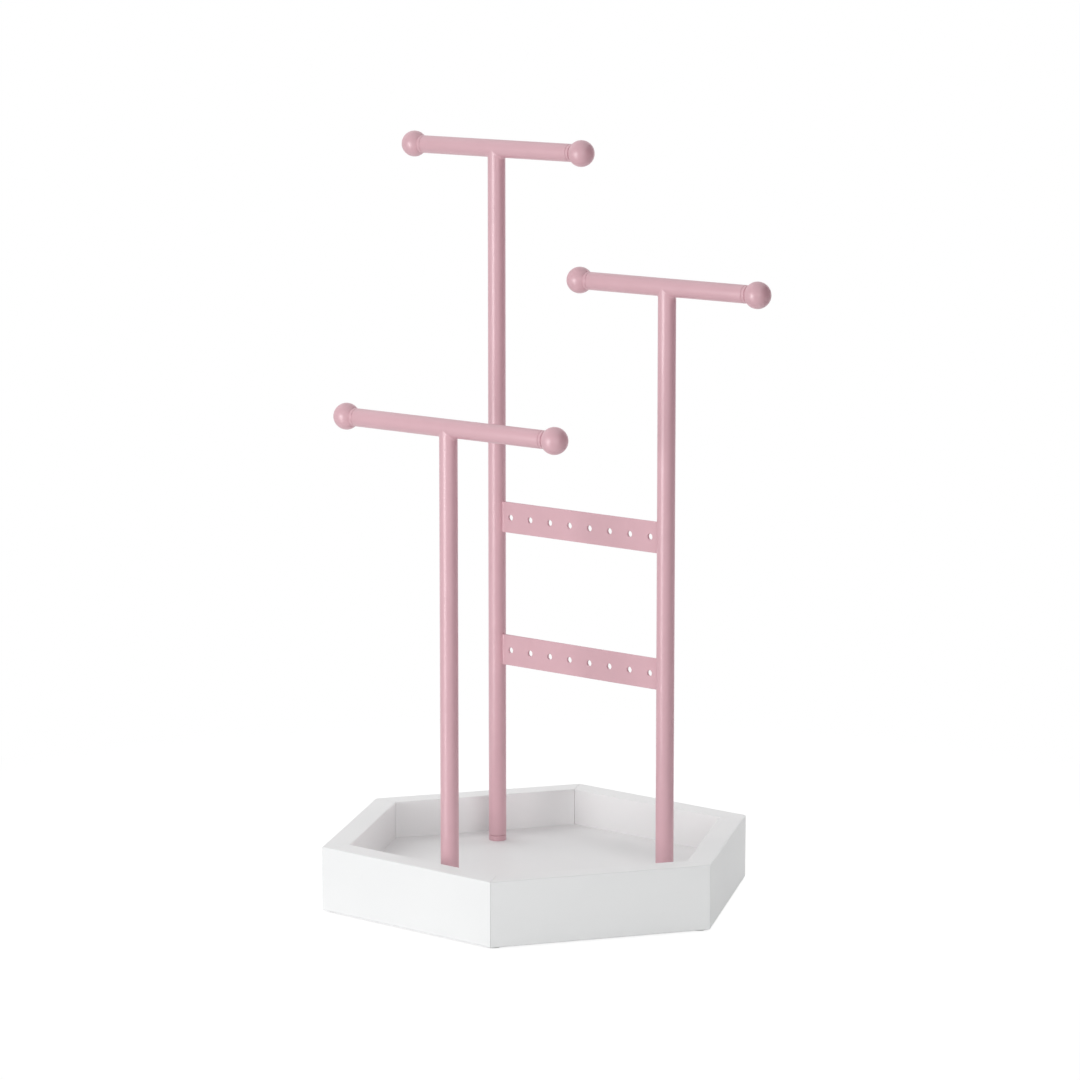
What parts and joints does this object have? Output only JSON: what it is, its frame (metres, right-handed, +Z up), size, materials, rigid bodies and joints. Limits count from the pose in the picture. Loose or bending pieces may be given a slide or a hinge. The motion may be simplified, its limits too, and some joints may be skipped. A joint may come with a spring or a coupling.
{
  "type": "jewelry stand",
  "caption": "Three-tier jewelry stand: T-shaped tube posts with ball-ended bars and two drilled earring plates on a six-sided wooden tray.",
  "frame": {"origin": "on the table, under the middle of the six-sided tray", "axes": "+Z up, +X to the right along the bars, the plates and the tray's front edge, -Y towards the front, where the short post stands"},
  "size_m": [0.2658, 0.2166, 0.4204],
  "materials": {
    "painted_wood": "fibreboard, sprayed satin white",
    "powder_coat": "steel, powder coated in dusty pink, low sheen",
    "zinc_steel": "zinc plated",
    "pad_foam": "matt self-adhesive foam"
  },
  "bodies": {
    "root": {"rim_board_front": "painted_wood", "rim_board_front_right": "painted_wood", "rim_board_rear_right": "painted_wood", "rim_board_rear": "painted_wood", "rim_board_rear_left": "painted_wood", "rim_board_front_left": "painted_wood", "floor_panel": "painted_wood", "foot_pads": "pad_foam", "tall_post": "powder_coat", "medium_post": "powder_coat", "short_post": "powder_coat", "tall_post_foot": "powder_coat", "medium_post_foot": "powder_coat", "short_post_foot": "powder_coat", "base_washers": "zinc_steel", "base_screws": "zinc_steel", "tall_bar": "powder_coat", "medium_bar": "powder_coat", "short_bar": "powder_coat", "tall_bar_left_ball": "powder_coat", "tall_bar_right_ball": "powder_coat", "medium_bar_left_ball": "powder_coat", "medium_bar_right_ball": "powder_coat", "short_bar_left_ball": "powder_coat", "short_bar_right_ball": "powder_coat", "upper_earring_plate": "powder_coat", "lower_earring_plate": "powder_coat"}
  },
  "joints": []
}
